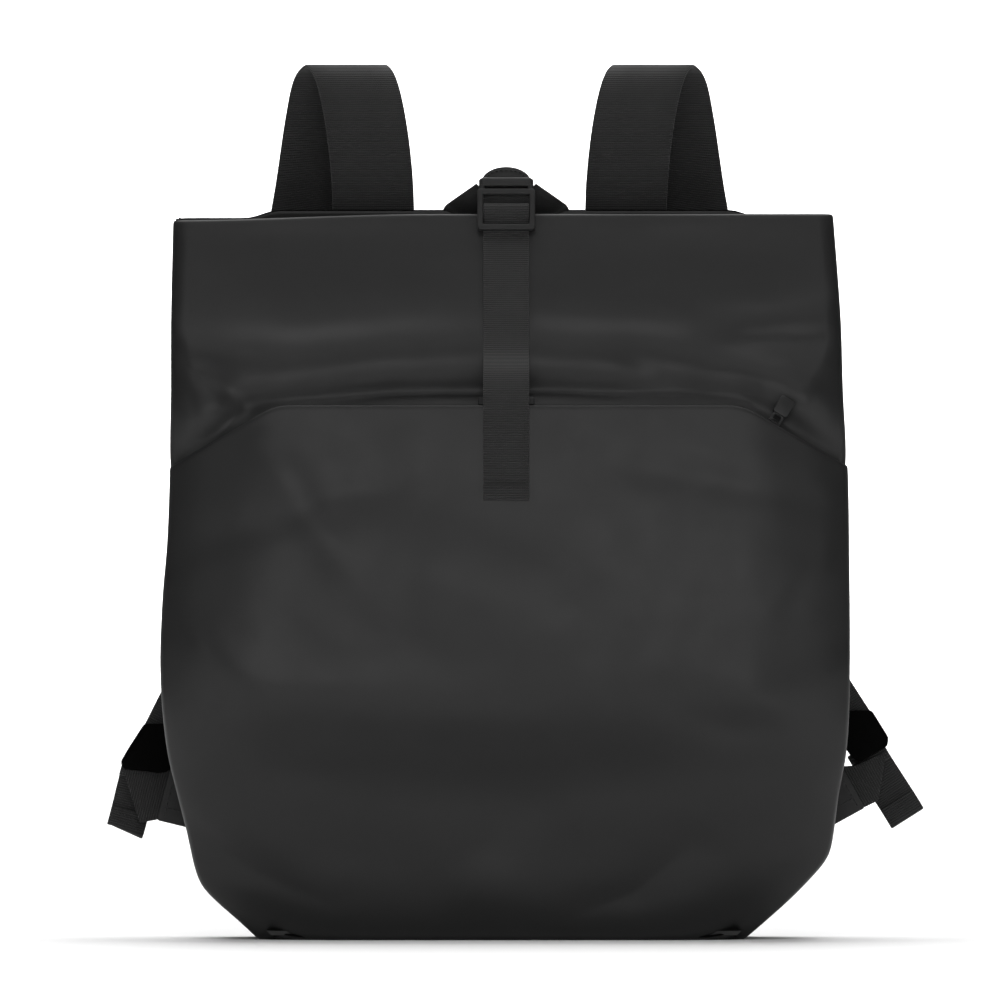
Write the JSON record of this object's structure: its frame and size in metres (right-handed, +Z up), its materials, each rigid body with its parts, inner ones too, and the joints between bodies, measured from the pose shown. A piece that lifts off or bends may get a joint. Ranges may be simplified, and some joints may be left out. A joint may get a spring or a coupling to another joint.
{
  "type": "backpack",
  "caption": "Slim matte black leather day backpack with a front zip pocket, a hooked webbing closure strap, a top carrying handle and adjustable webbing shoulder straps",
  "frame": {"origin": "on the ground, on the middle line of the base panel", "axes": "+X to the right and +Y to the back for someone who faces the front, +Z up"},
  "size_m": [0.4487, 0.1571, 0.479],
  "materials": {
    "leather": "smooth satin",
    "webbing": "ribbed matte",
    "lining": "woven matte",
    "binding": "matte",
    "foam": "mesh matte",
    "board": "matte",
    "zip_tape": "matte",
    "zip_coil": "satin",
    "zip_metal": "satin black",
    "buckle_metal": "matte black",
    "buckle_plastic": "matte"
  },
  "bodies": {
    "bag": {"front_panel": "leather", "gusset_left": "leather", "gusset_right": "leather", "back_panel": "leather", "base_panel": "leather", "base_board": "board", "back_foam": "foam", "lining": "lining", "mouth_facing_front": "leather", "mouth_facing_back": "leather", "lining_upper_front": "lining", "laptop_sleeve": "lining", "sleeve_gusset_left": "lining", "sleeve_gusset_right": "lining", "sleeve_binding": "binding", "pocket_panel": "leather", "pocket_lining": "lining", "pocket_zip_tape_outer": "zip_tape", "pocket_zip_coil_outer": "zip_coil", "pocket_zip_tape_inner": "zip_tape", "pocket_zip_coil_inner": "zip_coil", "closure_anchor": "leather", "handle_sleeve": "leather", "grab_handle": "webbing", "shoulder_strap_left": "webbing", "shoulder_strap_right": "webbing", "yoke": "leather", "ladder_lock_left": "buckle_plastic", "adjuster_webbing_left": "webbing", "strap_link_left": "webbing", "side_tab_left": "leather", "ladder_lock_right": "buckle_plastic", "adjuster_webbing_right": "webbing", "strap_link_right": "webbing", "side_tab_right": "leather"},
    "closure": {"closure_strap": "webbing", "hook_buckle": "buckle_metal"},
    "closure_end": {"closure_tail": "webbing", "closure_tail_hem": "webbing"},
    "slider": {"pocket_zip_slider": "zip_metal"},
    "puller": {"puller_bail": "zip_metal", "puller_tab": "leather"},
    "tail_left": {"adjuster_tail_left": "webbing", "adjuster_tail_hem_left": "webbing"},
    "tail_right": {"adjuster_tail_right": "webbing", "adjuster_tail_hem_right": "webbing"}
  },
  "joints": [
    {"name": "closure_swing", "type": "hinge", "parent": "bag", "child": "closure", "pos_m": [0, -0.0442, 0.29691], "axis": [1, 0, 0], "range_deg": [0, 100]},
    {"name": "closure_end_hang", "type": "hinge", "parent": "closure", "child": "closure_end", "pos_m": [0, -0.00346, 0.38485], "axis": [1, 0, 0], "range_deg": [-100, 0]},
    {"name": "pocket_zip_slide", "type": "slide", "parent": "bag", "child": "slider", "axis": [0.8445, -0.0917, -0.5277], "range_m": [-0.008, 0.011]},
    {"name": "puller_flip", "type": "hinge", "parent": "slider", "child": "puller", "pos_m": [0.14764, -0.0536, 0.28302], "axis": [0.848, 0, -0.53], "range_deg": [0, 90]},
    {"name": "tail_left_swing", "type": "hinge", "parent": "bag", "child": "tail_left", "pos_m": [-0.20156, 0.0346, 0.08718], "axis": [0.9613, 0, -0.2756], "range_deg": [0, 100]},
    {"name": "tail_right_swing", "type": "hinge", "parent": "bag", "child": "tail_right", "pos_m": [0.20355, 0.0346, 0.09435], "axis": [0.866, 0, 0.5], "range_deg": [0, 100]}
  ],
  "couplings": [
    {"joint": "closure_end_hang", "follows": "closure_swing", "ratio": -1}
  ]
}
